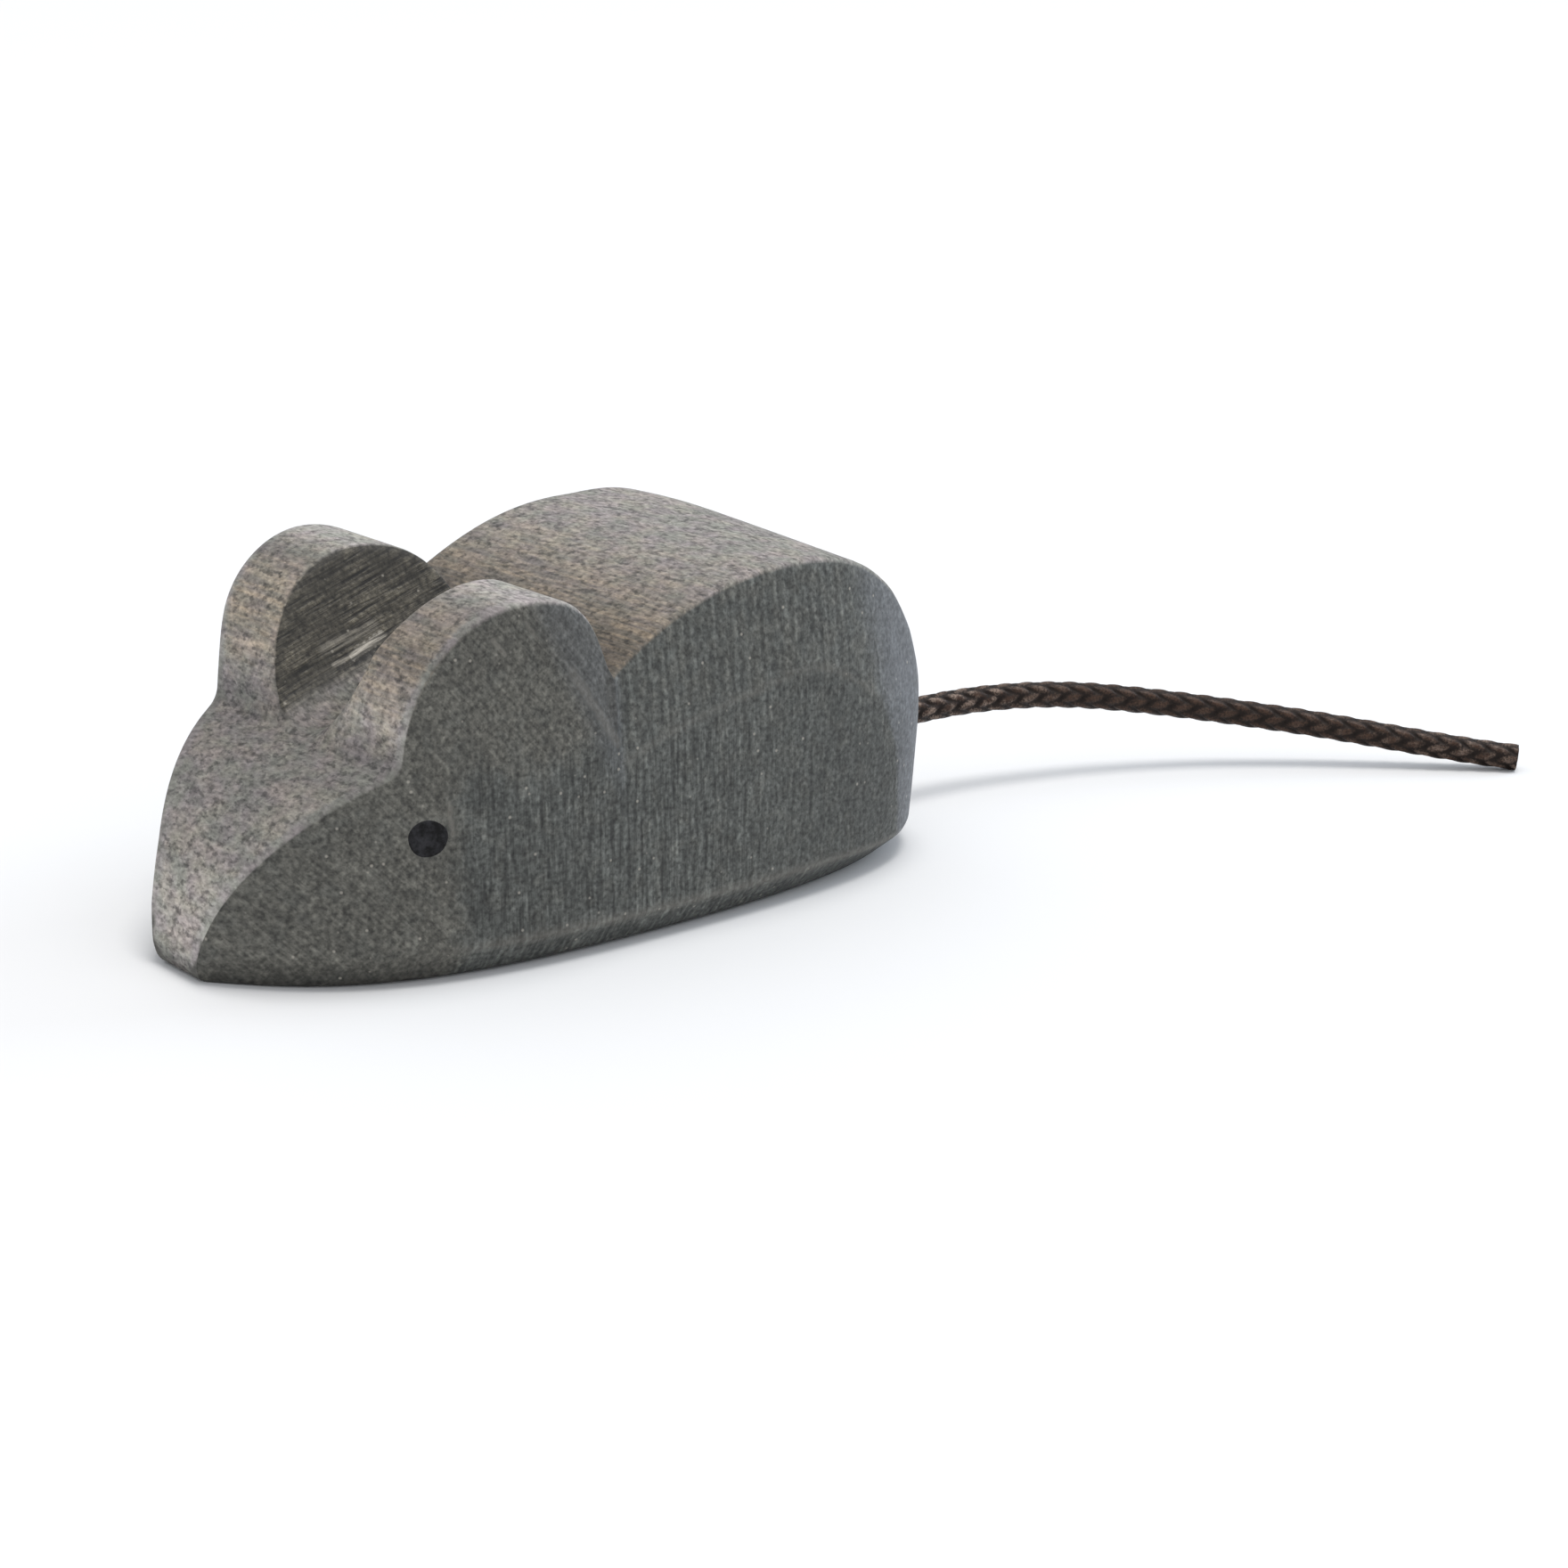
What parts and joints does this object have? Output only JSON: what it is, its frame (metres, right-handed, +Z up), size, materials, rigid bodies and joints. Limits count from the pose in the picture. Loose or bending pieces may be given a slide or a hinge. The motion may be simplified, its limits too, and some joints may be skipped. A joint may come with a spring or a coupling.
{
  "type": "wooden mouse figure",
  "caption": "Small wooden mouse sawn from a stained hardwood block, with notched ears, a humped back, painted dot eyes and a braided cord tail.",
  "frame": {"origin": "middle of the body's footprint, on the surface that it stands on", "axes": "+Z up, the nose points along -Y and the tail along +Y, the left flank faces +X"},
  "size_m": [0.0312, 0.085, 0.02],
  "materials": {
    "stained_wood": "grey-stained, sawn and sanded, matt",
    "eye_paint": "matt black paint",
    "waxed_cord": "braided and waxed, slight sheen",
    "dried_glue": "dried wood glue"
  },
  "bodies": {
    "root": {"body": "stained_wood", "left_eye": "eye_paint", "right_eye": "eye_paint", "tail_glue": "dried_glue", "tail_root": "waxed_cord", "tail_cord": "waxed_cord"}
  },
  "joints": []
}
